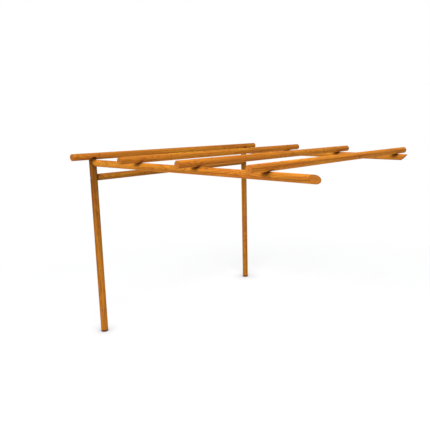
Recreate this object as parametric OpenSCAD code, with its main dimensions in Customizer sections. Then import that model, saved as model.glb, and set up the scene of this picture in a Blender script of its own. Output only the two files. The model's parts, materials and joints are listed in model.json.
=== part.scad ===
// Lean-to pergola of turned round poles.
// Two posts carry one end of the roof. Two rafters run from the posts to free
// mitred ends, and four purlins lie across them. Sizes are in millimetres.
// The origin is the centre of the left post's foot: +X runs to the right post,
// the rafters run to -Y, and +Z is up.

/* [Posts] */
// Diameter of the two posts
post_d = 100; // [98:1:140]
// Distance between the posts' centres
post_spacing = 3320; // [1800:10:5000]

/* [Tie beam] */
// Diameter of the beam between the posts
tie_d = 95; // [60:1:96]
// How far the beam's centre line lies below the rafters' centre line
tie_drop = 205; // [160:5:800]

/* [Rafters] */
// Diameter of the rafters
rafter_d = 95; // [60:1:96]
// Height of the rafters' centre line above the ground
rafter_height = 2500; // [1900:10:3500]
// Length of the left rafter, from the post's centre to the middle of its mitre
left_rafter_reach = 3630; // [3200:10:6000]
// Length of the right rafter, from the post's centre to the middle of its mitre
right_rafter_reach = 3200; // [3200:10:6000]
// Angle of the mitres, away from a square cut
mitre_angle = 45; // [0:1:60]
// Roll of the left rafter's mitre: 0 has its long side towards +X, -90 on top
left_rafter_roll = 22; // [-90:1:90]
// Roll of the right rafter's mitre: 0 has its long side towards +X, -90 on top
right_rafter_roll = -90; // [-90:1:90]

/* [Purlins] */
// Diameter of the four purlins
purlin_d = 95; // [60:1:96]
// Distance between one purlin's centre line and the next
purlin_pitch = 1020; // [300:10:1030]
// How far the purlins reach out past the posts' centres
purlin_overhang = 320; // [100:5:900]
// Chamfer round the ends of the purlins
end_chamfer = 6; // [0:0.5:15]

/* [Joints] */
// Depth of the hollow under a purlin where it lies on a rafter
seat_depth = 3; // [1:0.5:15]
// Depth of the hollow in a post's head, in which the back purlin lies
head_depth = 12; // [4:1:25]
// Clearance between a hollowed seat and the round pole in it
seat_gap = 0.3; // [0:0.05:1]

/* [Screws] */
// Diameter of the screws' shanks
screw_d = 8; // [5:0.5:12]
// Length under the head of the screws that join purlins to rafters
purlin_screw_len = 160; // [130:5:170]
// Length under the head of the screws that go into the end of a pole
end_screw_len = 200; // [160:10:300]
// Length of the screws' points
screw_point = 10; // [4:1:20]
// Diameter of the screws' flat heads
head_d = 22; // [14:1:30]
// Thickness of the heads
head_t = 4; // [2:0.5:8]
// Width across the flats of the hexagon socket in the heads
socket_w = 6; // [3:0.5:8]
// How far the heads lie below the surface of the pole
head_sink = 1.5; // [0:0.5:6]
// Clearance round the shanks, the heads and the points
screw_fit = 0.3; // [0.1:0.05:1]
// How far the rafter's screw passes beside the screw from above it
screw_offset = 15; // [13:1:25]

/* [Hidden] */
$fn = 96;

// the far side of a through cut
past = 20;
tie_z = rafter_height - tie_drop;
// centre line of the purlins
purlin_z = rafter_height + rafter_d / 2 + purlin_d / 2 - seat_depth;
post_len = purlin_z - purlin_d / 2 + head_depth;
purlin_len = post_spacing + 2 * purlin_overhang;
// from a pole's surface down to the underside of a screw's head
head_bed = head_t + head_sink;
post_xs = [0, post_spacing];
purlin_ys = [for (i = [0:3]) -i * purlin_pitch];

// a pole along +Z with chamfered ends
module pole(d, len, chamfer = 0) {
    r = d / 2;
    c = max(chamfer, 0.01);
    rotate_extrude()
        polygon([[0, 0], [r - c, 0], [r, c], [r, len - c], [r - c, len], [0, len]]);
}

// turns +Z to the direction of a screw's head
module head_toward(side) {
    if (side == "up") children();
    if (side == "back") rotate([-90, 0, 0]) children();
    if (side == "left") rotate([0, -90, 0]) children();
    if (side == "right") rotate([0, 90, 0]) children();
}

// a flat-headed timber screw: the head's underside is at z = 0, the point is down
module screw(len) {
    r = screw_d / 2;
    h = head_d / 2;
    edge = head_t / 3;
    color("dimgray")
        difference() {
            rotate_extrude()
                polygon([
                    [0, -len], [r, screw_point - len], [r, 0], [h, 0],
                    [h, head_t - edge], [h - edge, head_t], [0, head_t]
                ]);
            translate([0, 0, head_t / 2])
                cylinder(d = socket_w / cos(30), h = head_t, $fn = 6);
        }
}

// the hole and the flat bed that a screw of this length needs
module screw_hole(len) {
    translate([0, 0, -len - screw_fit])
        cylinder(d = screw_d + 2 * screw_fit, h = len + screw_fit + past);
    cylinder(d = head_d + 2 * screw_fit, h = past + head_bed);
}

// places of the screws, one per pair of poles
module at_purlin_top(x, y) {
    translate([x, y, purlin_z + purlin_d / 2 - head_bed]) head_toward("up") children();
}

module at_rafter_root(x) {
    inward = x == 0 ? 1 : -1;
    translate([x + inward * screw_offset, post_d / 2 - head_bed, rafter_height])
        head_toward("back") children();
}

module at_tie_end(x) {
    outward = x == 0 ? -1 : 1;
    translate([x + outward * (post_d / 2 - head_bed), 0, tie_z])
        head_toward(x == 0 ? "left" : "right") children();
}

// the round of a post, for hollowing the poles that meet it
module post_round(x) {
    translate([x, 0, -past]) cylinder(d = post_d + 2 * seat_gap, h = post_len + 2 * past);
}

module rafter_round(x) {
    translate([x, 0, rafter_height])
        rotate([90, 0, 0])
            cylinder(d = rafter_d + 2 * seat_gap, h = max(left_rafter_reach, right_rafter_reach));
}

module post(x) {
    color("peru")
        difference() {
            translate([x, 0, 0]) cylinder(d = post_d, h = post_len);
            translate([x - post_d, 0, purlin_z])
                rotate([0, 90, 0]) cylinder(d = purlin_d + 2 * seat_gap, h = 2 * post_d);
            at_purlin_top(x, 0) screw_hole(end_screw_len);
            at_rafter_root(x) screw_hole(end_screw_len);
            at_tie_end(x) screw_hole(end_screw_len);
        }
}

module tie_beam() {
    color("peru")
        difference() {
            translate([0, 0, tie_z]) rotate([0, 90, 0]) cylinder(d = tie_d, h = post_spacing);
            for (x = post_xs) {
                post_round(x);
                at_tie_end(x) screw_hole(end_screw_len);
            }
        }
}

// a rafter from the post at x: its root is hollowed round the post, its free end is mitred
module rafter(x, reach, roll) {
    spare = rafter_d * tan(mitre_angle);
    color("peru")
        difference() {
            translate([x, 0, rafter_height])
                rotate([90, 0, 0]) cylinder(d = rafter_d, h = reach + spare);
            post_round(x);
            translate([x, -reach, rafter_height])
                rotate([0, roll, 0])
                    rotate([0, 0, -mitre_angle])
                        translate([-2 * spare - rafter_d, -2 * spare - rafter_d, -rafter_d])
                            cube([4 * spare + 2 * rafter_d, 2 * spare + rafter_d, 2 * rafter_d]);
            at_rafter_root(x) screw_hole(end_screw_len);
            for (i = [1:3]) at_purlin_top(x, purlin_ys[i]) screw_hole(purlin_screw_len);
        }
}

module left_rafter() { rafter(post_xs[0], left_rafter_reach, left_rafter_roll); }
module right_rafter() { rafter(post_xs[1], right_rafter_reach, right_rafter_roll); }

module purlin_blank(y) {
    translate([-purlin_overhang, y, purlin_z])
        rotate([0, 90, 0]) pole(purlin_d, purlin_len, end_chamfer);
}

// the back purlin lies in the posts' hollowed heads, so it has no seats of its own
module back_purlin() {
    color("chocolate")
        difference() {
            purlin_blank(purlin_ys[0]);
            for (x = post_xs) at_purlin_top(x, 0) screw_hole(end_screw_len);
        }
}

// a purlin that lies on both rafters, in hollows of its own
module seated_purlin(y) {
    color("chocolate")
        difference() {
            purlin_blank(y);
            for (x = post_xs) {
                rafter_round(x);
                at_purlin_top(x, y) screw_hole(purlin_screw_len);
            }
        }
}

module second_purlin() { seated_purlin(purlin_ys[1]); }
module third_purlin() { seated_purlin(purlin_ys[2]); }
module front_purlin() { seated_purlin(purlin_ys[3]); }

// the screw of a purlin, counted from the back one, over the left (0) or right (1) rafter
module purlin_screw(side, row) {
    at_purlin_top(post_xs[side], purlin_ys[row])
        screw(row == 0 ? end_screw_len : purlin_screw_len);
}

post(post_xs[0]);  // left_post
post(post_xs[1]);  // right_post
tie_beam();
left_rafter();
right_rafter();
back_purlin();
second_purlin();
third_purlin();
front_purlin();
purlin_screw(0, 0);  // left_post_head_screw
purlin_screw(1, 0);  // right_post_head_screw
at_rafter_root(post_xs[0]) screw(end_screw_len);  // left_rafter_screw
at_rafter_root(post_xs[1]) screw(end_screw_len);  // right_rafter_screw
at_tie_end(post_xs[0]) screw(end_screw_len);  // left_tie_screw
at_tie_end(post_xs[1]) screw(end_screw_len);  // right_tie_screw
purlin_screw(0, 1);  // second_purlin_left_screw
purlin_screw(1, 1);  // second_purlin_right_screw
purlin_screw(0, 2);  // third_purlin_left_screw
purlin_screw(1, 2);  // third_purlin_right_screw
purlin_screw(0, 3);  // front_purlin_left_screw
purlin_screw(1, 3);  // front_purlin_right_screw
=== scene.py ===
# %% [markdown]
# # A lean-to pergola of turned round poles
#
# Nine turned pine poles make this pergola: two posts, a tie beam between them, two rafters that
# run forward from the posts, and four purlins across the rafters. Twelve timber screws hold them.
# The CAD model fixes every size and place. This script gives it its looks, one lesson at a time:
# the stained wood, the poles with their cut ends and drying checks, the screws, and the studio.
#
# All lengths are metres, as Blender's own unit, and `MM` turns millimetres into them.

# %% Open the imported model
import json
import math
import random

import bmesh
import bpy
from mathutils import Matrix, Vector


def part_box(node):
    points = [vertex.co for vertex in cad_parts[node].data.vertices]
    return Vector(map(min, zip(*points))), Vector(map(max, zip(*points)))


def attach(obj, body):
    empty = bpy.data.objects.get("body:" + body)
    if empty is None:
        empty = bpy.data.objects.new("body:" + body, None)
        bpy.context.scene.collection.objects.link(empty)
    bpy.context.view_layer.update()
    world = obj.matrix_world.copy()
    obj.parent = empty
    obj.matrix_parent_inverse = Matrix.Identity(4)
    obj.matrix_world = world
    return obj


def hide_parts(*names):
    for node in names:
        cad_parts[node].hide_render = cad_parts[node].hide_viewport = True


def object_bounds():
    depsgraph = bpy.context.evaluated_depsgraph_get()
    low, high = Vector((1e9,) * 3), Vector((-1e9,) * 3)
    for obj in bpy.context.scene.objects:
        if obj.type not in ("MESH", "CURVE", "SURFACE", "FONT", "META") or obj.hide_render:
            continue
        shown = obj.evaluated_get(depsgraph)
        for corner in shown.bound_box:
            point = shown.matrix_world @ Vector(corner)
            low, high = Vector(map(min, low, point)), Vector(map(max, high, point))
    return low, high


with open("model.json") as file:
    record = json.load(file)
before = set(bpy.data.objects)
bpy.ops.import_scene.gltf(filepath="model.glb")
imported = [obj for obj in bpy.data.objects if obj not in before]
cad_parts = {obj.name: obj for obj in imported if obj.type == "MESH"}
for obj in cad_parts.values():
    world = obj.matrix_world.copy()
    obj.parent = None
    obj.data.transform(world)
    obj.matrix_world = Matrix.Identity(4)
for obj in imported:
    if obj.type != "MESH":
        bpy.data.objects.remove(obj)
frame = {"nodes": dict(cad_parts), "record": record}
cad_low, cad_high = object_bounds()
MM = 0.001
print(len(frame["nodes"]), "CAD nodes in the box", cad_low, cad_high)

# %% [markdown]
# ## The camera
#
# A camera in Blender looks along its own -Z axis, with +X to its right and +Y up. It could be
# aimed with a Track To constraint, but a constraint can't roll. Here the three axes are worked
# out from a yaw, a pitch and a roll, and set as the columns of a turning matrix. The shift slides
# the picture sideways without turning the camera.

# %% Camera
CAMERA_PLACE = Vector((-4.1861, -6.1859, 3.0640))
CAMERA_YAW, CAMERA_PITCH, CAMERA_ROLL = 37.081, -11.079, -0.362
LENS_MM = 42.12
PICTURE_SHIFT = (-0.1170, 0.0100)


def place_new(name, data):
    """A new object in the scene."""
    made = bpy.data.objects.new(name, data)
    bpy.context.scene.collection.objects.link(made)
    return made


def camera_turn(yaw, pitch, roll):
    """The turn of a camera that looks along a yaw (from +X towards +Y) and a pitch, in degrees."""
    yaw, pitch, roll = (math.radians(angle) for angle in (yaw, pitch, roll))
    flat = math.cos(pitch)
    ahead = Vector((math.cos(yaw) * flat, math.sin(yaw) * flat, math.sin(pitch)))
    level = Vector((math.sin(yaw), -math.cos(yaw), 0))
    upright = level.cross(ahead)
    right = level * math.cos(roll) + upright * math.sin(roll)
    up = upright * math.cos(roll) - level * math.sin(roll)
    return Matrix((right, up, -ahead)).transposed()


camera = place_new("camera", bpy.data.cameras.new("camera"))
turn = camera_turn(CAMERA_YAW, CAMERA_PITCH, CAMERA_ROLL)
camera.matrix_world = Matrix.Translation(CAMERA_PLACE) @ turn.to_4x4()
camera.data.lens = LENS_MM
camera.data.shift_x, camera.data.shift_y = PICTURE_SHIFT
bpy.context.scene.camera = camera
print("camera at", CAMERA_PLACE, "lens", LENS_MM, "mm")

# %% [markdown]
# ## One helper for every node tree
#
# Materials, the world and geometry nodes are all trees of nodes. In the editor each node is placed
# and wired by hand; in a script it is made, set and linked, and one small function does all three.
# An input takes a plain value, another node's socket, or a node, which means its first output.
# Kinds and settings that come up often get short names.

# %% Helpers for nodes and colours
MATH, VECTOR_MATH, MAP_RANGE = "ShaderNodeMath", "ShaderNodeVectorMath", "ShaderNodeMapRange"
NOISE, MIX, ATTRIBUTE = "ShaderNodeTexNoise", "ShaderNodeMix", "ShaderNodeAttribute"
COMBINE, SEPARATE = "ShaderNodeCombineXYZ", "ShaderNodeSeparateXYZ"
CYLINDER, SET_POSITION = "GeometryNodeMeshCylinder", "GeometryNodeSetPosition"
ADD, SUBTRACT, MULTIPLY, DIVIDE, MULTIPLY_ADD, MAXIMUM, LENGTH = (
    {"operation": word}
    for word in ("ADD", "SUBTRACT", "MULTIPLY", "DIVIDE", "MULTIPLY_ADD", "MAXIMUM", "LENGTH")
)
COLOURS, SMOOTH = {"data_type": "RGBA"}, {"interpolation_type": "SMOOTHSTEP"}


def add(tree, kind, settings=None, inputs=None):
    """Adds a node with its settings; inputs go by name or number, or as a list from the first."""
    made = tree.nodes.new(kind)
    for name, value in (settings or {}).items():
        setattr(made, name, value)
    pairs = inputs.items() if isinstance(inputs, dict) else enumerate(inputs or [])
    for key, value in pairs:
        if isinstance(value, bpy.types.Node):
            value = value.outputs[0]
        if isinstance(value, bpy.types.NodeSocket):
            tree.links.new(value, made.inputs[key])
        else:
            made.inputs[key].default_value = value
    return made


def empty_tree(owner):
    """The node tree of a new material or world, without the nodes that Blender puts in it."""
    owner.use_nodes = True
    owner.node_tree.nodes.clear()
    return owner.node_tree


def linear(hex_colour):
    """An sRGB hex colour as the linear colour that Blender's sockets hold."""
    shares = [int(hex_colour[i : i + 2], 16) / 255 for i in (0, 2, 4)]
    bent = [s / 12.92 if s <= 0.04045 else ((s + 0.055) / 1.055) ** 2.4 for s in shares]
    return (*bent, 1.0)


print("mid grey 808080 is", round(linear("808080")[0], 3), "in linear light")

# %% [markdown]
# ## The wood: turned pine under a honey-orange stain
#
# Round garden poles are pine or spruce trunks turned to one thickness. The growth rings meet the
# surface at a shallow angle and draw long flames and ovals on it, and each end shows them as
# circles. An image wrapped round the pole would not match at the ends. A solid pattern does: the
# rings are drawn in space, and every cut shows the right figure.
#
# Each pole's mesh has an attribute `grain`: how far a point lies along the pole and across it, in
# metres. The figure reads only that, so one material serves all nine poles, whichever way they
# lie. First comes the pith, which wanders from the pole's middle by slow noise along its length.

# %% Wood: where the pith runs
RING_WIDTH = 3.0 * MM  # a pine grown in the open adds 3 to 4 mm a year
PITH_WANDER = 60 * MM  # noise swings about a sixth of this to each side: 10 mm off the middle
PITH_BENDS = 0.8  # per metre of trunk
POLE_RADIUS = 47.5 * MM

wood = bpy.data.materials.new("turned_pine_honey_stain")
w = empty_tree(wood)

grain = add(w, ATTRIBUTE, {"attribute_name": "grain"})
place = grain.outputs["Vector"]
along, across_1, across_2 = add(w, SEPARATE, {}, [place]).outputs
slow_along = add(w, VECTOR_MATH, MULTIPLY, [place, (PITH_BENDS, 0, 0)])
drift = add(w, NOISE, {}, {"Vector": slow_along, "Scale": 1.0, "Detail": 1.0})
swing = add(w, VECTOR_MATH, SUBTRACT, [drift.outputs["Color"], (0.5, 0.5, 0.5)])
cross_only = add(w, VECTOR_MATH, MULTIPLY, [place, (0, 1, 1)])
from_pith = add(w, VECTOR_MATH, MULTIPLY_ADD, [swing, (0, PITH_WANDER, PITH_WANDER), cross_only])
ring_radius = add(w, VECTOR_MATH, LENGTH, [from_pith]).outputs["Value"]
print("ring width", RING_WIDTH, "m")

# %% [markdown]
# ## Where the knots sit
#
# A pine grows its branches in whorls: three or four leave the trunk at one height, and the next
# whorl is a year's growth higher. A Voronoi texture would scatter spots anywhere, so the whorls
# are worked out. The length is cut into steps and the circumference into four sectors, and White
# Noise of step and sector gives each knot its own place and size.

# %% Wood: where the knots sit
WHORL_STEP = 0.43
WHORL_JITTER = 0.5  # the share of a step within which a whorl may lie
WHORL_TURN = 37.0  # any large number turns each whorl to a place of its own
SECTORS = 4
SPOT_RANGE = (0.3, 0.7)  # a knot keeps clear of its sector's edges

step = add(w, MATH, DIVIDE, [along, WHORL_STEP])
whorl = add(w, MATH, {"operation": "ROUND"}, [step])
whorl_draw = add(
    w, "ShaderNodeTexWhiteNoise", {"noise_dimensions": "1D"}, {"W": whorl}
).outputs["Value"]
jittered = add(w, MATH, MULTIPLY_ADD, [whorl_draw, WHORL_JITTER, whorl])
off_whorl = add(w, MATH, SUBTRACT, [step, jittered])
off_whorl = add(w, MATH, ADD, [off_whorl, WHORL_JITTER / 2])
gap_along = add(w, MATH, MULTIPLY, [off_whorl, WHORL_STEP])

angle = add(w, MATH, {"operation": "ARCTAN2"}, [across_2, across_1])
turn_by = add(w, MATH, MULTIPLY, [whorl_draw, WHORL_TURN])
turned = add(w, MATH, MULTIPLY_ADD, [angle, SECTORS / math.tau, turn_by])
sector = add(w, MATH, {"operation": "FLOOR"}, [turned])
sector_id = add(w, MATH, {"operation": "FLOORED_MODULO"}, [sector, float(SECTORS)])
knot_id = add(w, COMBINE, {}, [whorl, sector_id, 0.0])
knot_draw = add(w, "ShaderNodeTexWhiteNoise", {"noise_dimensions": "3D"}, {"Vector": knot_id})
spot_draw, size_draw = add(
    w, "ShaderNodeSeparateColor", {}, [knot_draw.outputs["Color"]]
).outputs[:2]
spot = add(w, MAP_RANGE, {}, [spot_draw, 0.0, 1.0, *SPOT_RANGE])
in_sector = add(w, MATH, SUBTRACT, [turned, sector])
from_spot = add(w, MATH, SUBTRACT, [in_sector, spot])
gap_round = add(w, MATH, MULTIPLY, [from_spot, math.tau / SECTORS * POLE_RADIUS])
gap = add(w, COMBINE, {}, [gap_along, gap_round, 0.0])
print("whorls", WHORL_STEP, "m apart, places for", SECTORS, "knots in each")

# %% [markdown]
# ## What a knot looks like
#
# A knot is the foot of a branch: round, with a slightly uneven edge. Half of the draws give one
# too small to see. The grain parts early and closes late along the pole, so the eye round a knot
# is long. A sawyer cuts clear of knots, so the ends have none: the attribute `open_end` says how
# squarely a face cuts across the fibres.

# %% Wood: the knots' shapes
KNOT_RADIUS = 10 * MM
LEAST_KNOT = 0.3 * MM
SMALL_DRAWS = 0.5
END_KNOT_SHARE = 0.02
EDGE_BUMPS = 90.0  # per metre: a bump on a knot's edge is about 11 mm long
EDGE_SWING = (0.9, 1.1)
EYE_SQUEEZE = 0.42

open_end = add(w, ATTRIBUTE, {"attribute_name": "open_end"}).outputs["Fac"]
knot_size = add(w, MAP_RANGE, {}, [size_draw, SMALL_DRAWS, 1.0, LEAST_KNOT, KNOT_RADIUS])
side_only = add(w, MAP_RANGE, {}, [open_end, 0.3, 0.6, 1.0, END_KNOT_SHARE])
knot_radius = add(w, MATH, MULTIPLY, [knot_size, side_only])
edge_noise = add(w, NOISE, {}, {"Vector": place, "Scale": EDGE_BUMPS, "Detail": 1.0})
edge_factor = add(w, MAP_RANGE, {}, [edge_noise, 0.3, 0.7, *EDGE_SWING])
# distance to the knot's middle, counted in the knot's own radii
gap_length = add(w, VECTOR_MATH, LENGTH, [gap]).outputs["Value"]
gap_uneven = add(w, MATH, MULTIPLY, [gap_length, edge_factor])
knot_far = add(w, MATH, DIVIDE, [gap_uneven, knot_radius])
knot = add(w, MAP_RANGE, SMOOTH, [knot_far, 0.85, 1.15, 1.0, 0.0])
squeezed = add(w, VECTOR_MATH, MULTIPLY, [gap, (EYE_SQUEEZE, 1.0, 1.0)])
eye = add(w, VECTOR_MATH, LENGTH, [squeezed]).outputs["Value"]
eye_far = add(w, MATH, DIVIDE, [eye, knot_radius])
halo = add(w, MAP_RANGE, SMOOTH, [eye_far, 0.5, 3.0, 1.0, 0.0])
print("knots up to", 2 * KNOT_RADIUS / MM, "mm across")

# %% [markdown]
# ## Rings
#
# A year's ring is pale, soft earlywood that darkens slowly into hard latewood and then stops at a
# sharp line. The distance from the pith is bent a little by noise, pushed outwards round a knot so
# that the lines flow round it, and counted in ring widths. The fraction says where in its year a
# point lies, and slow noise makes the latewood of some years darker.

# %% Wood: rings
BEND_SCALE = (1.2, 22.0, 22.0)  # per metre: slow along the fibres, quick across them
BEND_DEPTH = 5 * MM
TAPER = 0.004  # a trunk thins by 4 mm in a metre
DARKENING = (0.35, 0.95)  # the part of the year in which the wood darkens
STOP_SHARE = 0.08  # the part of the next year that the sharp line takes
YEAR_TONES = (0.45, 1.0)

bend = add(w, VECTOR_MATH, MULTIPLY, [place, BEND_SCALE])
bend_noise = add(w, NOISE, {}, {"Vector": bend, "Scale": 1.0, "Detail": 2.5})
bend_by = add(w, MAP_RANGE, {}, [bend_noise, 0.0, 1.0, -BEND_DEPTH, BEND_DEPTH])
taper = add(w, MATH, MULTIPLY, [along, TAPER])
swirl = add(w, MATH, MULTIPLY, [halo, knot_radius])
depth = ring_radius
for part in (bend_by, taper, swirl):
    depth = add(w, MATH, ADD, [depth, part])
years = add(w, MATH, DIVIDE, [depth, RING_WIDTH])
year = add(w, MATH, {"operation": "FLOOR"}, [years])
season = add(w, MATH, SUBTRACT, [years, year])
darkening = add(w, MAP_RANGE, SMOOTH, [season, *DARKENING, 0.0, 1.0])
stop = add(w, MAP_RANGE, {}, [season, 0.0, STOP_SHARE, 1.0, 0.0])
late = add(w, MATH, MAXIMUM, [darkening, stop])
year_draw = add(w, NOISE, {"noise_dimensions": "1D"}, {"W": years, "Scale": 0.6})
year_tone = add(w, MAP_RANGE, {}, [year_draw, 0.3, 0.7, *YEAR_TONES])
latewood = add(w, MATH, MULTIPLY, [late, year_tone])
print("wood nodes so far:", len(w.nodes))

# %% [markdown]
# ## Fibres, streaks and clouds
#
# Up close, pine is a bundle of fibres: fine streaks a millimetre or two wide and many centimetres
# long. Broader streaks come from resin, and wide soft clouds from a stain that lies unevenly. Each
# is noise with three numbers: how many swings it makes in a metre, along the fibres and across.

# %% Wood: fibres, streaks and clouds
FIBRE_SCALE, FIBRE_DETAIL = (9.0, 620.0, 620.0), 4.0
STREAK_SCALE, STREAK_DETAIL = (0.7, 48.0, 48.0), 3.0
CLOUD_SCALE, CLOUD_DETAIL = (1.4, 14.0, 14.0), 2.0

figures = []
for swings, detail in (
    (FIBRE_SCALE, FIBRE_DETAIL), (STREAK_SCALE, STREAK_DETAIL), (CLOUD_SCALE, CLOUD_DETAIL)
):
    squeezed = add(w, VECTOR_MATH, MULTIPLY, [place, swings])
    figures.append(add(w, NOISE, {}, {"Vector": squeezed, "Scale": 1.0, "Detail": detail}))
fibres, streaks, clouds = figures
print("a streak is about", round(1000 / STREAK_SCALE[1]), "mm wide")

# %% [markdown]
# ## How much of each colour
#
# The stain is honey orange; it sinks deeper into soft earlywood, into knots, and most of all into
# the open ends, and its edge on an end is darker still. The heart of the tree shows on an end as a
# pink-brown disc with the pith in its middle. Every layer gets a share from 0 to 1.

# %% Wood: shares of the colours
KNOT_RING = 0.13  # a knot's own rings, counted in its radii
PITH_EDGE = (2 * MM, 3 * MM)
HEART_EDGE = (11 * MM, 17 * MM)
RIM_EDGE = (POLE_RADIUS - 8 * MM, POLE_RADIUS - 2 * MM)
RING_SHARE, HALO_SHARE = 0.68, 0.35
END_SHARE, RIM_SHARE = 0.45, 0.8

ring_share = add(w, MATH, MULTIPLY, [latewood, RING_SHARE])
streak_share = add(w, MAP_RANGE, {}, [streaks, 0.42, 0.66, 0.0, 0.78])
halo_share = add(w, MATH, MULTIPLY, [halo, HALO_SHARE])
knot_rings = add(w, MATH, {"operation": "PINGPONG"}, [knot_far, KNOT_RING])
knot_rim = add(w, MAP_RANGE, {}, [knot_far, 0.6, 1.0, 0.0, 0.75])
knot_dark = add(
    w, MATH, {"operation": "MULTIPLY_ADD", "use_clamp": True}, [knot_rings, 2.5, knot_rim]
)
heart = add(w, MAP_RANGE, {}, [ring_radius, *HEART_EDGE, 0.6, 0.0])
pith = add(w, MAP_RANGE, {}, [ring_radius, *PITH_EDGE, 0.9, 0.0])
end_share = add(w, MAP_RANGE, {}, [open_end, 0.3, 0.7, 0.0, END_SHARE])
off_middle = add(w, VECTOR_MATH, LENGTH, [cross_only])
rim = add(w, MAP_RANGE, {}, [off_middle.outputs["Value"], *RIM_EDGE, 0.0, RIM_SHARE])
rim_share = add(w, MATH, MULTIPLY, [rim, end_share])
print("heart", 2 * HEART_EDGE[1] / MM, "mm across, pith", 2 * PITH_EDGE[1] / MM, "mm")

# %% [markdown]
# ## Laying the colours over each other
#
# The colour is mixed in the order in which the real one comes about: wood with its rings, streaks
# and knots, then the heart, then the stained ends. One Mix node lays one colour over the last.

# %% Wood: layers of colour
HONEY = linear("EC952D")
LATE_BROWN = linear("A65F17")
STREAK_BROWN = linear("B5651D")
HEART_PINK = linear("B9613A")
KNOT_BROWN = linear("8C4A18")
KNOT_RIM = linear("6A3812")
PITH_PINK = linear("8A4A30")
END_TAN = linear("CC7C34")
RIM_BROWN = linear("7E4A14")

knot_colour = add(w, MIX, COLOURS, {0: knot_dark, 6: KNOT_BROWN, 7: KNOT_RIM})
layer = HONEY
for share, over in (
    (ring_share, LATE_BROWN), (streak_share, STREAK_BROWN), (halo_share, LATE_BROWN),
    (knot, knot_colour.outputs[2]), (heart, HEART_PINK), (pith, PITH_PINK),
    (end_share, END_TAN), (rim_share, RIM_BROWN),
):
    mixed = add(w, MIX, COLOURS, {0: share, 6: layer, 7: over})
    layer = mixed.outputs[2]
print("wood nodes so far:", len(w.nodes))

# %% [markdown]
# ## Light and dark places
#
# The tone attribute holds how dark a pole is as a whole, with some painted shade in it, and fibres
# and clouds vary it. Where two poles meet, painted shade makes the wood near-black: the contact
# attribute says how close a point lies to another pole. Last, the posts are darker at the foot.

# %% Wood: light, contact and sealer
# painted shade: the near-black of the crevices where poles meet
CONTACT_SHADE_BROWN = linear("3A2204")
# the darker colour at the posts' feet
FOOT_DARK = linear("3B2A30")
FIBRE_LIGHT, CLOUD_LIGHT = (0.87, 1.1), (0.93, 1.06)
CLOUD_HUE = (0.494, 0.506)  # 0.5 leaves a hue as it is
CONTACT_SHADE_SHARE, FOOT_DARK_SHARE = 0.93, 0.85
FOOT_DARK_HEIGHT, FOOT_DARK_EDGE = 24 * MM, 3 * MM

touch = add(w, ATTRIBUTE, {"attribute_name": "touch"}).outputs["Fac"]
tone = add(w, ATTRIBUTE, {"attribute_name": "tone"}).outputs["Fac"]
fibre_light = add(w, MAP_RANGE, {}, [fibres, 0.3, 0.7, *FIBRE_LIGHT])
cloud_light = add(w, MAP_RANGE, {}, [clouds, 0.3, 0.7, *CLOUD_LIGHT])
light = add(w, MATH, MULTIPLY, [fibre_light, cloud_light])
light = add(w, MATH, MULTIPLY, [light, tone])
cloud_hue = add(w, MAP_RANGE, {}, [clouds, 0.3, 0.7, *CLOUD_HUE])
stained = add(
    w, "ShaderNodeHueSaturation", {},
    {"Hue": cloud_hue, "Saturation": 1.0, "Value": light, "Fac": 1.0, "Color": layer},
)
# painted shade where another pole lies close
contact_shade_share = add(w, MATH, MULTIPLY, [touch, CONTACT_SHADE_SHARE])
contact_shaded = add(w, MIX, COLOURS, {0: contact_shade_share, 6: stained, 7: CONTACT_SHADE_BROWN})
where = add(w, "ShaderNodeTexCoord").outputs["Object"]
height = add(w, SEPARATE, {}, [where]).outputs["Z"]
# darker towards the foot, in the lowest 24 mm
foot_darkening = add(
    w, MAP_RANGE, {}, [height, FOOT_DARK_HEIGHT, FOOT_DARK_HEIGHT + FOOT_DARK_EDGE, FOOT_DARK_SHARE, 0.0]
)
colour = add(w, MIX, COLOURS, {0: foot_darkening, 6: contact_shaded.outputs[2], 7: FOOT_DARK})
print("wood nodes so far:", len(w.nodes))

# %% [markdown]
# ## Sheen and surface of the wood
#
# The finish is a satin stain: smooth but not glassy, rougher where fibres stand open at the ends.
# Latewood, fibres and knots stand proud by a tenth of a millimetre, too little to model, so they
# go into one height, which the Bump node turns into a tilt of the light. An oil stain soaks in and
# leaves no film, so it mirrors little: the specular level is set low.

# %% Wood: sheen, bump and shader
EARLY_ROUGH, LATE_ROUGH, END_ROUGHER = 0.74, 0.62, 0.2
RELIEF = {"rings": 0.5, "fibres": 0.9, "knots": 0.8}
RELIEF_DEPTH = 0.12 * MM

roughness = add(w, MAP_RANGE, {}, [latewood, 0.0, 1.0, EARLY_ROUGH, LATE_ROUGH])
roughness = add(
    w, MATH, {"operation": "MULTIPLY_ADD", "use_clamp": True}, [open_end, END_ROUGHER, roughness]
)
relief = add(w, MATH, MULTIPLY, [latewood, RELIEF["rings"]])
for part, share in ((fibres, RELIEF["fibres"]), (knot, RELIEF["knots"])):
    relief = add(w, MATH, MULTIPLY_ADD, [part, share, relief])
bump = add(w, "ShaderNodeBump", {}, {"Strength": 0.6, "Distance": RELIEF_DEPTH, "Height": relief})
shader = add(
    w, "ShaderNodeBsdfPrincipled", {},
    {"Base Color": colour.outputs[2], "Roughness": roughness, "Normal": bump, "IOR": 1.5,
     "Specular IOR Level": 0.08},
)
add(w, "ShaderNodeOutputMaterial", {}, {"Surface": shader})
print("wood material:", wood.name, "with", len(w.nodes), "nodes")

# %% [markdown]
# ## The screws' steel: zinc plated, dull
#
# Timber screws are cold-formed steel with a thin coat of zinc, which looks soft grey with faint
# warm clouds from its passivating bath. It is a metal, so its colour is that of its reflections.

# %% Steel
BATH_CLOUDS = 140.0  # per metre: a cloud is about 7 mm wide
ZINC_CRYSTALS = 1400.0  # per metre: coarser than real ones, so that they show
CRYSTAL_DEPTH = 0.03 * MM

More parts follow.
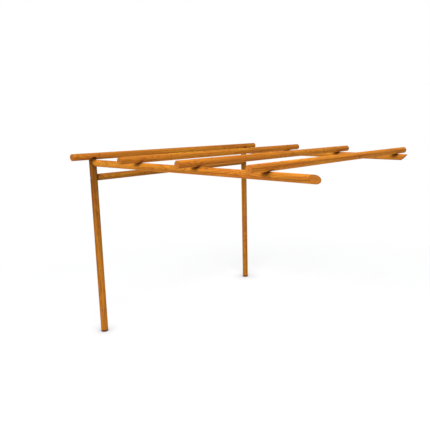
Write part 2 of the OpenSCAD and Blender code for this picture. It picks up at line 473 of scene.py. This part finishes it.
steel = bpy.data.materials.new("zinc_plated_steel")
z = empty_tree(steel)
on_screw = add(z, "ShaderNodeTexCoord").outputs["Object"]
bath = add(z, NOISE, {}, {"Vector": on_screw, "Scale": BATH_CLOUDS, "Detail": 3.0})
crystals = add(z, "ShaderNodeTexVoronoi", {}, {"Vector": on_screw, "Scale": ZINC_CRYSTALS})
bath_share = add(z, MAP_RANGE, {}, [bath, 0.35, 0.65, 0.0, 1.0])
zinc = add(z, MIX, COLOURS, {0: bath_share, 6: linear("A6A49E"), 7: linear("B8AC8E")})
dull = add(z, MAP_RANGE, {}, [crystals, 0.0, 1.0, 0.32, 0.5])
grit = add(
    z, "ShaderNodeBump", {}, {"Strength": 0.3, "Distance": CRYSTAL_DEPTH, "Height": crystals}
)
zinc_shader = add(
    z, "ShaderNodeBsdfPrincipled", {},
    {"Base Color": zinc.outputs[2], "Metallic": 1.0, "Roughness": dull, "Normal": grit},
)
add(z, "ShaderNodeOutputMaterial", {}, {"Surface": zinc_shader})
print("steel material:", steel.name)

# %% [markdown]
# ## A geometry tree that turns a pole
#
# A pole is a line with a circle swept along it, as Curve to Mesh does, and the circle shrinks at
# both ends to make the chamfer. A cylinder primitive has no rows of points along its length, so it
# can't be uneven or carry the dark places where two poles touch. Here the rows are about a
# centimetre apart, and noise takes off up to half a millimetre, as no turned pole is quite even.
#
# The tree has named inputs. They are set by each socket's identifier, not by its name, before
# Blender first evaluates the object. Then `new_from_object` freezes the result as a mesh.

# %% Tree: turned pole, its sizes and its rows
def new_tree(name, sockets):
    """An empty geometry tree with named inputs (name, kind, default), and the inputs' sockets."""
    tree = bpy.data.node_groups.new(name, "GeometryNodeTree")
    tree.interface.new_socket("Result", in_out="OUTPUT", socket_type="NodeSocketGeometry")
    for label, kind, default in sockets:
        socket = tree.interface.new_socket(
            label, in_out="INPUT", socket_type="NodeSocket" + kind
        )
        if default is not None:
            socket.default_value = default
    return tree, add(tree, "NodeGroupInput").outputs


pole_tree, size = new_tree("turned_pole", [
    ("Length", "Float", 1.0),
    ("Radius", "Float", POLE_RADIUS),
    ("Chamfer", "Float", 1 * MM),
    ("Row Step", "Float", 10 * MM),
    ("Sides", "Int", 64),
    ("Unevenness", "Float", 0.5 * MM),
    ("Seed", "Float", 0.0),
    ("Material", "Material", None),
])
t = pole_tree
spans = add(t, MATH, DIVIDE, [size["Length"], size["Row Step"]])
spans = add(t, MATH, {"operation": "ROUND"}, [spans])
rows = add(t, MATH, ADD, [spans, 3.0])
line = add(t, "GeometryNodeMeshLine", {}, {"Count": rows, "Offset": (0, 0, 0)})
# the rows lie evenly between the two chamfers, and one more row ends each of them
twice = add(t, MATH, MULTIPLY, [size["Chamfer"], 2.0])
body_length = add(t, MATH, SUBTRACT, [size["Length"], twice])
row_gap = add(t, MATH, DIVIDE, [body_length, spans])
index = add(t, "GeometryNodeInputIndex")
row_number = add(t, MATH, SUBTRACT, [index, 1.0])
row_place = add(t, MATH, MULTIPLY_ADD, [row_number, row_gap, size["Chamfer"]])
row_place = add(t, "ShaderNodeClamp", {}, [row_place, 0.0, size["Length"]])
row_point = add(t, COMBINE, {}, [row_place, 0.0, 0.0])
spread = add(t, SET_POSITION, {}, {"Geometry": line, "Position": row_point})
path = add(t, "GeometryNodeMeshToCurve", {}, [spread])
print("turned_pole tree so far:", len(t.nodes), "nodes")

# %% [markdown]
# ### The sweep and its unevenness
#
# Within the chamfer, the circle shrinks by as much as the row lies nearer to the end than the
# chamfer is long. Then every point moves inwards along its normal by its own noise. It never moves
# outwards, so the pole stays inside its CAD size.

# %% Tree: turned pole, swept and made uneven
LUMP_SCALE = (3.0, 16.0, 16.0)  # swings per metre, along the pole and across it

position = add(t, "GeometryNodeInputPosition")
from_start = add(t, SEPARATE, {}, [position]).outputs["X"]
from_end = add(t, MATH, SUBTRACT, [size["Length"], from_start])
nearest = add(t, MATH, {"operation": "MINIMUM"}, [from_start, from_end])
missing = add(t, MATH, SUBTRACT, [size["Chamfer"], nearest])
missing = add(t, MATH, MAXIMUM, [missing, 0.0])
shrunk = add(t, MATH, DIVIDE, [missing, size["Radius"]])
scale = add(t, MATH, SUBTRACT, [1.0, shrunk])
circle = add(
    t, "GeometryNodeCurvePrimitiveCircle", {},
    {"Resolution": size["Sides"], "Radius": size["Radius"]},
)
swept = add(
    t, "GeometryNodeCurveToMesh", {},
    {"Curve": path, "Profile Curve": circle, "Scale": scale, "Fill Caps": True},
)
lumps = add(t, VECTOR_MATH, MULTIPLY, [position, LUMP_SCALE])
lump = add(
    t, NOISE, {"noise_dimensions": "4D"},
    {"Vector": lumps, "W": size["Seed"], "Scale": 1.0, "Detail": 2.0},
)
inward = add(t, MATH, MULTIPLY, [lump, size["Unevenness"]])
inward = add(t, MATH, MULTIPLY, [inward, -1.0])
shift = add(
    t, VECTOR_MATH, {"operation": "SCALE"},
    {"Vector": add(t, "GeometryNodeInputNormal"), "Scale": inward},
)
uneven = add(t, SET_POSITION, {}, {"Geometry": swept, "Offset": shift})
whole = add(t, "GeometryNodeRealizeInstances", {}, [uneven])
finished = add(t, "GeometryNodeSetMaterial", {}, {"Geometry": whole, "Material": size["Material"]})
add(t, "NodeGroupOutput", {}, [finished])
print("turned_pole tree:", len(t.nodes), "nodes")


# %% Helpers: bake a tree into a plain mesh, and shade it
SHARP_DEGREES = 32


def freeze(piece, modifier):
    """Makes a modifier's result the piece's own plain mesh, and removes the modifier."""
    graph = bpy.context.evaluated_depsgraph_get()
    mesh = bpy.data.meshes.new_from_object(piece.evaluated_get(graph))
    piece.modifiers.remove(modifier)
    piece.data = mesh


def bake(tree, name, values, seed_mesh=None):
    """Runs a geometry tree with these input values and returns its result as a mesh object."""
    piece = place_new(name, seed_mesh or bpy.data.meshes.new(name))
    modifier = piece.modifiers.new("shape", "NODES")
    modifier.node_group = tree
    for socket in tree.interface.items_tree:
        if socket.in_out == "INPUT" and socket.name in values:
            modifier[socket.identifier] = values[socket.name]
    freeze(piece, modifier)
    piece.data.name = name
    return piece


def shade(piece):
    """Smooths all edges but the sharp ones, and returns the number of triangles."""
    piece.data.polygons.foreach_set("use_smooth", [True] * len(piece.data.polygons))
    piece.data.set_sharp_from_angle(angle=math.radians(SHARP_DEGREES))
    return sum(len(face.vertices) - 2 for face in piece.data.polygons)


# %% [markdown]
# ## The nine poles and where they lie
#
# Each pole has a start, a direction, a length and a radius, which come from the CAD nodes' own
# boxes, and a chamfer. The rafters and the tie beam start at the posts' centre lines: what is too
# much there is cut away below, as a joiner would do with a hole saw of the post's size.

# %% Poles: places and sizes
def middle_and_half(node):
    """The middle of a CAD node's box, and half its size on each axis."""
    low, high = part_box(node)
    return (low + high) / 2, (high - low) / 2


PURLINS = ("back_purlin", "second_purlin", "third_purlin", "front_purlin")
POSTS = ("left_post", "right_post")
RAFTERS = ("left_rafter", "right_rafter")
ALONG_X, ALONG_Z, FORWARD = Vector((1, 0, 0)), Vector((0, 0, 1)), Vector((0, -1, 0))
PURLIN_CHAMFER = 6 * MM
SMALL_CHAMFER = 2 * MM

poles = {}
for name in POSTS:
    centre, half = middle_and_half(name)
    start = Vector((centre.x, centre.y, 0))
    poles[name] = (start, ALONG_Z, 2 * half.z, half.x, SMALL_CHAMFER)
left_x, right_x = (poles[name][0].x for name in POSTS)
centre, half = middle_and_half("tie_beam")
poles["tie_beam"] = (
    Vector((left_x, centre.y, centre.z)), ALONG_X, right_x - left_x, half.y, SMALL_CHAMFER
)
for name, x in zip(RAFTERS, (left_x, right_x)):
    centre, half = middle_and_half(name)
    reach = half.y - centre.y
    poles[name] = (Vector((x, 0, centre.z)), FORWARD, reach, half.x, SMALL_CHAMFER)
for name in PURLINS:
    centre, half = middle_and_half(name)
    start = centre - ALONG_X * half.x
    poles[name] = (start, ALONG_X, 2 * half.x, half.y, PURLIN_CHAMFER)
for name, (start, heading, length, radius, chamfer) in poles.items():
    print(f"{name}: {length:.3f} m long, {2 * radius / MM:.0f} mm thick")


# %% [markdown]
# ## Cutting tools
#
# A joint is a shape taken away. Each tool is a closed mesh: a round bar for the hollow that fits
# another pole, a block for the slanted saw cut, a stepped bar for a screw and its head. The
# Boolean modifier takes it off, with the Manifold solver, which is made for clean closed meshes.

# %% Helpers: cutting tools
SEAT_GAP = 0.3 * MM


def tool_from(name, build):
    """A closed mesh object for cutting. build fills an empty bmesh."""
    shape = bmesh.new()
    build(shape)
    bmesh.ops.recalc_face_normals(shape, faces=shape.faces)
    mesh = bpy.data.meshes.new(name)
    shape.to_mesh(mesh)
    shape.free()
    return place_new(name, mesh)


def lying_along(start, heading):
    """The matrix that takes +Z to a heading and the origin to a start."""
    return Matrix.Translation(start) @ heading.to_track_quat("Z", "Y").to_matrix().to_4x4()


def add_rows(shape, place, rows):
    """Adds a closed solid to a bmesh, through rows of corners (radius, angle, distance along)."""
    rings = []
    for row in rows:
        corners = (Vector((r * math.cos(a), r * math.sin(a), far)) for r, a, far in row)
        rings.append([shape.verts.new(place @ corner) for corner in corners])
    for low, high in zip(rings, rings[1:]):
        for k in range(len(low)):
            m = (k + 1) % len(low)
            shape.faces.new((low[k], low[m], high[m], high[k]))
    shape.faces.new(rings[0])
    shape.faces.new(rings[-1])


def turned_tool(name, start, heading, profile, sides=96):
    """A turned solid for cutting. profile lists (distance from the start, radius)."""
    place = lying_along(start, heading)
    rows = [[(r, math.tau * k / sides, far) for k in range(sides)] for far, r in profile]
    return tool_from(name, lambda shape: add_rows(shape, place, rows))


def take_off(piece, tool):
    """Cuts a tool's shape from a piece, then throws the tool away."""
    cutter = piece.modifiers.new("cut", "BOOLEAN")
    cutter.operation = "DIFFERENCE"
    cutter.solver = "MANIFOLD"
    cutter.object = tool
    freeze(piece, cutter)
    bpy.data.objects.remove(tool)


# %% [markdown]
# ## Where the screws sit
#
# Every screw's CAD box says where its flat head and its point end, and its name says which way the
# head looks. Under the head lies a flat bed, drilled a little below the pole's round, and a hole
# with a third of a millimetre to spare. The poles' holes and, further down, the screws themselves
# are made from this one list.

# %% Screws: places
HEAD_THICK = 4 * MM
HEAD_RADIUS = 11 * MM
SHANK_RADIUS = 4 * MM
SCREW_FIT = 0.3 * MM
BED_DEPTH = 20 * MM

screws = {}
for node in frame["nodes"]:
    if node.endswith("_screw"):
        centre, half = middle_and_half(node)
        if "_tie_" in node:
            out = -ALONG_X if node.startswith("left") else ALONG_X
        elif "_rafter_" in node:
            out = -FORWARD
        else:
            out = ALONG_Z
        reach = max(half)
        seat = centre + out * (reach - HEAD_THICK)
        screws[node] = (seat, out, 2 * reach - HEAD_THICK)
print(len(screws), "screws, lengths", sorted({round(s[2], 3) for s in screws.values()}))


def screw_tool(seat, out, length):
    """The bed and the hole for one screw, as one stepped bar."""
    hole, bed = SHANK_RADIUS + SCREW_FIT, HEAD_RADIUS + SCREW_FIT
    long = length + SCREW_FIT
    steps = [(0, hole), (long, hole), (long, bed), (long + BED_DEPTH, bed)]
    return turned_tool("screw_tool", seat - out * long, out, steps, 48)


# %% [markdown]
# ## Drying checks
#
# As a round pole dries it shrinks more round its rings than along its radius, so it must crack:
# long thin checks open along the fibres, a millimetre or two wide, and close again at both ends.
# They could be painted dark, but then they would not catch the light. Each is cut as a thin wedge
# that wanders a little with the grain. Where they lie is drawn from a fixed seed for each pole.

# %% Helper: a drying check
CHECK_ROWS = 36
CHECK_LENGTH = (0.3, 0.95)
CHECK_HALF_OPENING = (0.5 * MM, 1.0 * MM)
CHECK_DEPTH = (12 * MM, 20 * MM)
CHECK_WAVES = (1.0, 2.2)
CHECK_WAVE_TURN, CHECK_DRIFT_TURN = 0.03, 0.08  # how far it wanders round the pole, in radians
CHECK_PROUD = 1.5 * MM  # the wedge stands out of the pole, to cut through its surface


def check_tool(start, heading, radius, draw, low, high):
    """A thin wedge, pointed at both ends, that opens along a pole between two distances."""
    long = min(draw.uniform(*CHECK_LENGTH), 0.8 * (high - low))
    first = draw.uniform(low, high - long)
    angle = draw.uniform(0, math.tau)
    opening = draw.uniform(*CHECK_HALF_OPENING)
    inward = draw.uniform(*CHECK_DEPTH)
    phase, waves, drift = draw.uniform(0, math.tau), draw.uniform(*CHECK_WAVES), draw.uniform(-1, 1)
    rows = []
    for i in range(CHECK_ROWS + 1):
        part = i / CHECK_ROWS
        swell = max(math.sin(math.pi * part), 0.02) ** 0.7
        wave = CHECK_WAVE_TURN * math.sin(phase + math.tau * waves * part)
        here = angle + wave + CHECK_DRIFT_TURN * drift * part
        half = opening * swell / radius
        far = first + long * part
        proud, deep = radius + CHECK_PROUD, radius - inward * swell
        rows.append([(proud, here - half, far), (proud, here + half, far), (deep, here, far)])
    place = lying_along(start, heading)
    return tool_from("check_tool", lambda shape: add_rows(shape, place, rows))


# %% [markdown]
# ## The joints of each pole
#
# The posts are hollowed at the head for the back purlin. The rafters and the tie beam end in the
# round of a post, and the rafters' free ends are sawn on the slant. The other purlins are hollowed
# where they lie on the rafters. Every pole is drilled where a screw passes through its box, which
# is tested at a few points along the screw.

# %% Helpers: the joints
BLOCK = 0.4
OVERRUN = 50 * MM  # how far a round tool runs past the pole that it stands for
MITRES = {
    mount["name"].replace("_end", ""): mount
    for mount in frame["record"]["mounts"] if "rafter" in mount["name"]
}


def round_tool(name, overrun=0.0):
    """The round of another pole, for a seat or an end that meets it."""
    start, heading, length, radius, _ = poles[name]
    cut = radius + SEAT_GAP
    steps = [(-overrun, cut), (length + overrun, cut)]
    return turned_tool("round_tool", start, heading, steps)


def mitre_tool(mount):
    """A block whose lower face is the slanted saw cut."""
    out = Vector(mount["axis"]).normalized()
    place = lying_along(Vector(mount["pos_m"]) + out * BLOCK / 2, out)
    return tool_from("mitre_tool", lambda shape: bmesh.ops.create_cube(
        shape, size=BLOCK, matrix=place
    ))


def passes_through(name, seat, out, length):
    """Whether a screw passes through a pole's box."""
    low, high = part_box(name)
    points = [seat - out * far for far in (0, 30 * MM, length / 2, length)]
    return any(
        all(low[i] - 2 * MM < point[i] < high[i] + 2 * MM for i in range(3)) for point in points
    )


def tools_for(name):
    """The joints that are cut from one pole."""
    if name in POSTS:
        yield round_tool("back_purlin")
    if name in RAFTERS:
        yield round_tool(POSTS[RAFTERS.index(name)], OVERRUN)
        yield mitre_tool(MITRES[name])
    if name == "tie_beam":
        for post in POSTS:
            yield round_tool(post, OVERRUN)
    if name in PURLINS[1:]:
        for rafter in RAFTERS:
            yield round_tool(rafter)
    for screw in screws.values():
        if passes_through(name, *screw):
            yield screw_tool(*screw)


print("mitred ends:", list(MITRES))

# %% [markdown]
# ## What the wood material needs to know
#
# Each mesh gets four attributes. `grain` is the place in the pole's own directions, with another
# stretch of trunk for each pole. The contact attribute, which places painted shade, is 1 where
# another pole lies on this one and falls off with the distance, most slowly on the rafters, which
# lie below the purlins. `open_end` is a face's tilt towards the pole's length. The tone attribute
# is how light the pole is, as no two trunks take the stain alike; on the tie beam and the posts'
# heads it holds painted shade as well.

# %% Helpers: the four attributes
# how light each pole is; the tie beam, which lies under a purlin, is set darker as painted shade
TONES_AND_SHADE = {
    "left_post": 0.69, "right_post": 0.70, "tie_beam": 0.53,
    "left_rafter": 0.82, "right_rafter": 0.79,
    "back_purlin": 0.73, "second_purlin": 0.77, "third_purlin": 0.84, "front_purlin": 0.96,
}
CONTACT_SHADE_REACH = {"post": 12 * MM, "beam": 13 * MM, "rafter": 42 * MM, "purlin": 7 * MM}
# painted shade on the posts' heads, fading over about half a metre from the poles above
HEAD_SHADE_REACH, HEAD_SHADE_DEPTH = 0.55, 0.48
TRUNK_STRETCH = 7.3


def distance_to_pole(point, name):
    """How far a point lies outside another pole's surface."""
    start, heading, length, radius, _ = poles[name]
    first, last = 0.0, length
    if name not in POSTS + PURLINS:
        # this pole was measured from a post's centre, but only starts at the post's surface
        first = poles["left_post"][3] + radius
    if name == "tie_beam":
        last = length - first
    reach = min(max((point - start).dot(heading), first), last)
    return (point - start - heading * reach).length - radius


def mark_wood(piece, name, stretch):
    """Writes the four attributes that the wood material reads."""
    start, heading, length, radius, _ = poles[name]
    head_shade = HEAD_SHADE_DEPTH if name in POSTS else 0.0
    contact_shade_reach = CONTACT_SHADE_REACH[name.split("_")[-1]]
    others = [other for other in poles if other != name]
    to_local = lying_along(start, heading).inverted()
    grain, touch, tone = [], [], []
    for vertex in piece.data.vertices:
        local = to_local @ vertex.co
        grain += (local.z + stretch, local.x, local.y)
        near = max(min(distance_to_pole(vertex.co, other) for other in others), 0.0)
        # painted shade in the crevices: 1 against another pole, fading with the distance
        touch.append(math.exp(-((near / contact_shade_reach) ** 2)))
        # the posts' heads get painted shade near the other poles
        tone.append(TONES_AND_SHADE[name] * (1 - head_shade * math.exp(-near / HEAD_SHADE_REACH)))
    open_end = [abs(face.normal.dot(heading)) for face in piece.data.polygons]
    for label, kind, domain, field, values in (
        ("grain", "FLOAT_VECTOR", "POINT", "vector", grain),
        ("touch", "FLOAT", "POINT", "value", touch),
        ("tone", "FLOAT", "POINT", "value", tone),
        ("open_end", "FLOAT", "FACE", "value", open_end),
    ):
        mark = piece.data.attributes.new(label, kind, domain)
        mark.data.foreach_set(field, values)


print("darkest pole:", min(TONES_AND_SHADE, key=TONES_AND_SHADE.get), "lightest:", max(TONES_AND_SHADE, key=TONES_AND_SHADE.get))

# %% [markdown]
# ## Making the poles
#
# Now every pole is turned, laid in place, jointed, drilled and cracked in that order, as in the
# workshop, and marked for its material.

# %% Poles: all nine
CHECK_SEED = 40
CHECK_COUNTS = (2, 3, 3, 4)
CHECK_CLEAR = 0.12  # no check comes closer to a pole's end

made_poles = {}
for number, (name, (start, heading, length, radius, chamfer)) in enumerate(poles.items()):
    piece = bake(pole_tree, name + "_turned", {
        "Length": length, "Radius": radius, "Chamfer": chamfer,
        "Seed": float(number), "Material": wood,
    })
    # the tree makes a pole along +X, and lying_along expects one along +Z
    stand_up = Matrix.Rotation(-math.pi / 2, 4, "Y")
    piece.data.transform(lying_along(start, heading) @ stand_up)
    for tool in tools_for(name):
        take_off(piece, tool)
    draw = random.Random(CHECK_SEED + number)
    for _ in range(draw.choice(CHECK_COUNTS)):
        check = check_tool(start, heading, radius, draw, CHECK_CLEAR, length - CHECK_CLEAR)
        take_off(piece, check)
    mark_wood(piece, name, TRUNK_STRETCH * (number + 1))
    triangles = shade(piece)
    made_poles[name] = piece
    print(f"{piece.name}: {triangles} triangles, {len(piece.data.materials)} material")

# %% [markdown]
# ## The timber screws
#
# Long timber screws have a flat disc head with a socket, a smooth shank, a thread over the lower
# part and a slim point. Almost all of a screw is hidden in the wood, yet each is modelled whole.
# The tree makes one screw from simple shapes and a spiral, then puts a copy on every point of the
# mesh it is given. Copies would be lost in an export, so the tree ends by making them real.

# %% Tree: timber screws, the head
RIM_DRAWN_IN = 0.88


def lifted(tree, shape, height):
    """A shape moved along Z."""
    shift = add(tree, COMBINE, {}, [0.0, 0.0, height])
    return add(tree, "GeometryNodeTransform", {}, {"Geometry": shape, "Translation": shift})


screw_tree, give = new_tree("timber_screws", [
    ("Places", "Geometry", None),
    ("Length", "Float", 0.16),
    ("Thread Length", "Float", 0.08),
    ("Thread Radius", "Float", SHANK_RADIUS),
    ("Core Radius", "Float", 2.7 * MM),
    ("Pitch", "Float", 4 * MM),
    ("Point", "Float", 10 * MM),
    ("Head Radius", "Float", HEAD_RADIUS),
    ("Head Thickness", "Float", HEAD_THICK),
    ("Socket Width", "Float", 6 * MM),
    ("Material", "Material", None),
])
t = screw_tree
thick, core_radius = give["Head Thickness"], give["Core Radius"]
# a disc in three steps, of which the upper rim is drawn in
disc = add(
    t, CYLINDER, {},
    {"Vertices": 48, "Side Segments": 3, "Radius": give["Head Radius"], "Depth": thick},
)
top = add(t, MATH, MULTIPLY, [thick, 0.49])
position = add(t, "GeometryNodeInputPosition")
height = add(t, SEPARATE, {}, [position]).outputs["Z"]
is_rim = add(t, MATH, {"operation": "GREATER_THAN"}, [height, top])
drawn_in = add(t, VECTOR_MATH, MULTIPLY, [position, (RIM_DRAWN_IN, RIM_DRAWN_IN, 1.0)])
disc = add(t, SET_POSITION, {}, {"Geometry": disc, "Selection": is_rim, "Position": drawn_in})
disc = lifted(t, disc, add(t, MATH, DIVIDE, [thick, 2.0]))
# socket: a hexagonal prism, half the head's thickness deep, taken off the disc
corner = add(t, MATH, DIVIDE, [give["Socket Width"], 2 * math.cos(math.radians(30))])
hexagon = add(t, CYLINDER, {}, {"Vertices": 6, "Radius": corner, "Depth": thick})
head = add(
    t, "GeometryNodeMeshBoolean", {"operation": "DIFFERENCE", "solver": "MANIFOLD"},
    {"Mesh 1": disc, "Mesh 2": lifted(t, hexagon, thick)},
)
print("timber_screws tree so far:", len(t.nodes), "nodes")

# %% [markdown]
# ### Shank, core, point and thread
#
# The bars are simple: a core from the head down, a stouter smooth shank round its upper part, and
# a slim point. The thread is a spiral with a three-cornered profile that shrinks towards the
# point. Each is made round its own middle or foot, then moved down to its place under the head.

# %% Tree: timber screws, below the head
SHANK_STOUTER = 1.12
TIP_RADIUS = 0.2 * MM
THREAD_STEPS = 20  # straight pieces in one turn
RUN_OUT = 0.12  # the share of the thread over which it swells to its full height

smooth = add(t, MATH, SUBTRACT, [give["Length"], give["Thread Length"]])
stout = add(t, MATH, MULTIPLY, [core_radius, SHANK_STOUTER])
shank = add(t, CYLINDER, {}, {"Vertices": 24, "Radius": stout, "Depth": smooth})
shank_drop = add(t, MATH, MULTIPLY, [smooth, -0.5])
long = add(t, MATH, SUBTRACT, [give["Length"], give["Point"]])
core = add(t, CYLINDER, {}, {"Vertices": 24, "Radius": core_radius, "Depth": long})
core_drop = add(t, MATH, MULTIPLY, [long, -0.5])
tip = add(
    t, "GeometryNodeMeshCone", {},
    {"Vertices": 24, "Radius Top": core_radius, "Radius Bottom": TIP_RADIUS,
     "Depth": give["Point"]},
)
whole_drop = add(t, MATH, MULTIPLY, [give["Length"], -1.0])
turns = add(t, MATH, DIVIDE, [give["Thread Length"], give["Pitch"]])
spiral = add(
    t, "GeometryNodeCurveSpiral", {},
    {"Resolution": THREAD_STEPS, "Rotations": turns, "Start Radius": core_radius,
     "End Radius": core_radius, "Height": give["Thread Length"]},
)
done = add(t, "GeometryNodeSplineParameter").outputs["Factor"]
swell = add(t, MAP_RANGE, {}, [done, 0.0, RUN_OUT, 0.15, 1.0])
crest = add(t, MATH, SUBTRACT, [give["Thread Radius"], core_radius])
ridge = add(t, "GeometryNodeCurvePrimitiveCircle", {}, {"Resolution": 3, "Radius": crest})
thread = add(
    t, "GeometryNodeCurveToMesh", {},
    {"Curve": spiral, "Profile Curve": ridge, "Scale": swell, "Fill Caps": True},
)
thread_drop = add(t, MATH, MULTIPLY_ADD, [give["Point"], 0.5, whole_drop])
one_screw = add(t, "GeometryNodeJoinGeometry")
t.links.new(head.outputs[0], one_screw.inputs[0])
for part, drop in (
    (shank, shank_drop), (core, core_drop), (tip, whole_drop), (thread, thread_drop)
):
    t.links.new(lifted(t, part, drop).outputs[0], one_screw.inputs[0])
print("timber_screws tree so far:", len(t.nodes), "nodes")

# %% [markdown]
# ### A copy at every place
#
# Each place is a point of the mesh that the tree is given, and its attribute `turned` says which
# way the head looks.

# %% Tree: timber screws, the copies
turned_by = add(
    t, "GeometryNodeInputNamedAttribute", {"data_type": "FLOAT_VECTOR"}, {"Name": "turned"}
)
copies = add(
    t, "GeometryNodeInstanceOnPoints", {},
    {"Points": give["Places"], "Instance": one_screw, "Rotation": turned_by},
)
real = add(t, "GeometryNodeRealizeInstances", {}, [copies])
plated = add(t, "GeometryNodeSetMaterial", {}, {"Geometry": real, "Material": give["Material"]})
add(t, "NodeGroupOutput", {}, [plated])
print("timber_screws tree:", len(t.nodes), "nodes")

# %% [markdown]
# ## Placing the screws
#
# Two lengths are used: the shorter ones join purlins to rafters, the longer ones go into the end
# of a pole. Each length becomes one piece that stands for its six CAD nodes.

# %% Screws: both lengths
def screw_set(name, chosen):
    """One mesh with a screw at every chosen place."""
    points = bpy.data.meshes.new(name + "_places")
    points.from_pydata([seat for seat, out, length in chosen.values()], [], [])
    turned = points.attributes.new("turned", "FLOAT_VECTOR", "POINT")
    for i, (seat, out, length) in enumerate(chosen.values()):
        turned.data[i].vector = out.to_track_quat("Z", "Y").to_euler()
    # all screws of a set are equally long
    piece = bake(screw_tree, name, {"Length": length, "Material": steel}, points)
    triangles = shade(piece)
    print(f"{name}: {len(chosen)} screws, {triangles} triangles")
    return piece


shortest = min(length for seat, out, length in screws.values())
purlin_set = {name: place for name, place in screws.items() if place[2] < shortest + 1 * MM}
end_set = {name: place for name, place in screws.items() if name not in purlin_set}
purlin_screws = screw_set("purlin_screws", purlin_set)
end_screws = screw_set("end_screws", end_set)

# %% [markdown]
# ## Each piece on its body
#
# Nine poles and two sets of screws belong to the one body, `root`. Each stands for its CAD nodes,
# which stay behind for collisions, hidden from view.

# %% Pieces and their CAD nodes
for name, piece in made_poles.items():
    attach(piece, "root")
    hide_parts(name)
for piece, chosen in ((purlin_screws, purlin_set), (end_screws, end_set)):
    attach(piece, "root")
    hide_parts(*chosen)
print(len(made_poles) + 2, "pieces stand for", len(frame["nodes"]), "CAD nodes")

# %% [markdown]
# ## The sky
#
# The sky is even and white, and lights the wood at a plain level, at which a colour looks about as
# it is written. For the background to be white without more light on the wood, the world asks the
# Light Path node who is looking: a ray from the camera, or one that a gloss or glass sends, sees
# white, and all other rays get the real light.

# %% Sky
SKY_LIGHT = 0.5
WHITE = (1, 1, 1, 1)


def seen_by_eye(tree):
    """1 for a ray from the camera or from a gloss or glass, 0 for any other."""
    ray = add(tree, "ShaderNodeLightPath").outputs
    seen = ray["Is Camera Ray"]
    for other in (ray["Is Transmission Ray"], ray["Is Glossy Ray"]):
        seen = add(tree, MATH, MAXIMUM, [seen, other])
    return seen


sky = bpy.data.worlds.new("soft_sky")
bpy.context.scene.world = sky
k = empty_tree(sky)
soft = add(k, "ShaderNodeBackground", {}, {"Color": linear("F4F6FA"), "Strength": SKY_LIGHT})
white = add(k, "ShaderNodeBackground", {}, {"Color": WHITE, "Strength": 1.0})
sky_shader = add(k, "ShaderNodeMixShader", {}, [seen_by_eye(k), soft, white])
add(k, "ShaderNodeOutputWorld", {}, {"Surface": sky_shader})
print("sky at", SKY_LIGHT)

# %% [markdown]
# ## The floor
#
# A plain pale sheet. To the eye it is half matte, so that it keeps the pergola's soft shadow, and
# half glowing, so that it is as white as the sky. Away from the pergola the matte half fades out.
# The Ambient Occlusion node, which tells how closed in a point is, makes the glow weaker close
# round the feet: a painted contact shadow, so that they stand on the floor.

# %% Floor
FLOOR_HALF = 40.0
FLOOR_NEAR, FLOOR_FAR = 2.8, 6.5  # metres from the middle, between which the matte share fades
FLOOR_MATTE_SHARE = 0.5
FLOOR_LIT_LEVEL = 0.8  # how bright the lamps and the sky make a white matte floor
# a painted contact shadow round the feet: how far it reaches and how dark it gets
CONTACT_SHADOW_REACH = 0.3
CONTACT_SHADOW_LEVEL = 0.3

paper = bpy.data.materials.new("pale_studio_floor")
p = empty_tree(paper)
seen = seen_by_eye(p)
middle = (cad_low + cad_high) / 2
floor_place = add(
    p, VECTOR_MATH, SUBTRACT,
    [add(p, "ShaderNodeTexCoord").outputs["Object"], (middle.x, middle.y, 0)],
)
distance = add(p, VECTOR_MATH, LENGTH, [floor_place]).outputs["Value"]
matte_share = add(p, MAP_RANGE, SMOOTH, [distance, FLOOR_NEAR, FLOOR_FAR, FLOOR_MATTE_SHARE, 0.0])
paper_colour = add(p, MIX, COLOURS, {0: seen, 6: linear("F2F2F2"), 7: matte_share})
matte = add(p, "ShaderNodeBsdfDiffuse", {}, {"Color": paper_colour.outputs[2]})
# the glow makes up what the lit matte share lacks to white
lack = add(p, MATH, MULTIPLY_ADD, [matte_share, -FLOOR_LIT_LEVEL, 1.0])
openness = add(
    p, "ShaderNodeAmbientOcclusion", {"samples": 16}, {"Distance": CONTACT_SHADOW_REACH}
).outputs["AO"]
contact_shadow_level = add(p, MAP_RANGE, {}, [openness, 0.5, 1.0, CONTACT_SHADOW_LEVEL, 1.0])
glow_level = add(p, MATH, MULTIPLY, [lack, seen])
glow_level = add(p, MATH, MULTIPLY, [glow_level, contact_shadow_level])
glow = add(p, "ShaderNodeEmission", {}, {"Color": WHITE, "Strength": glow_level})
both = add(p, "ShaderNodeAddShader", {}, [matte, glow])
add(p, "ShaderNodeOutputMaterial", {}, {"Surface": both})

corners = [(x * FLOOR_HALF, y * FLOOR_HALF, 0) for x, y in ((-1, -1), (1, -1), (1, 1), (-1, 1))]
floor_mesh = bpy.data.meshes.new("studio_floor")
floor_mesh.from_pydata(corners, [], [(0, 1, 2, 3)])
floor_mesh.materials.append(paper)
floor = place_new("studio_floor", floor_mesh)
print("floor", 2 * FLOOR_HALF, "m wide")

# %% [markdown]
# ## The lamps
#
# One large soft lamp hangs high above. It makes the poles bright on top and leaves them deep
# below, so that they look round. A weaker one stands low at the left, so that one side of each
# post is lighter than the other.

# %% Lamps and view settings
LAMPS = {  # place, width, watts
    "high_lamp": (Vector((-1.0, -3.6, 9.5)), 5.0, 560.0),
    "left_lamp": (Vector((-9.0, -1.5, 2.2)), 5.0, 270.0),
}

for name, (lamp_place, wide, watts) in LAMPS.items():
    light_data = bpy.data.lights.new(name, "AREA")
    light_data.shape = "DISK"
    light_data.size = wide
    light_data.energy = watts
    lamp = place_new(name, light_data)
    aim = (middle - lamp_place).to_track_quat("-Z", "Y")
    lamp.matrix_world = Matrix.Translation(lamp_place) @ aim.to_matrix().to_4x4()
    print(name, watts, "W,", wide, "m wide")
bpy.context.scene.view_settings.view_transform = "Standard"
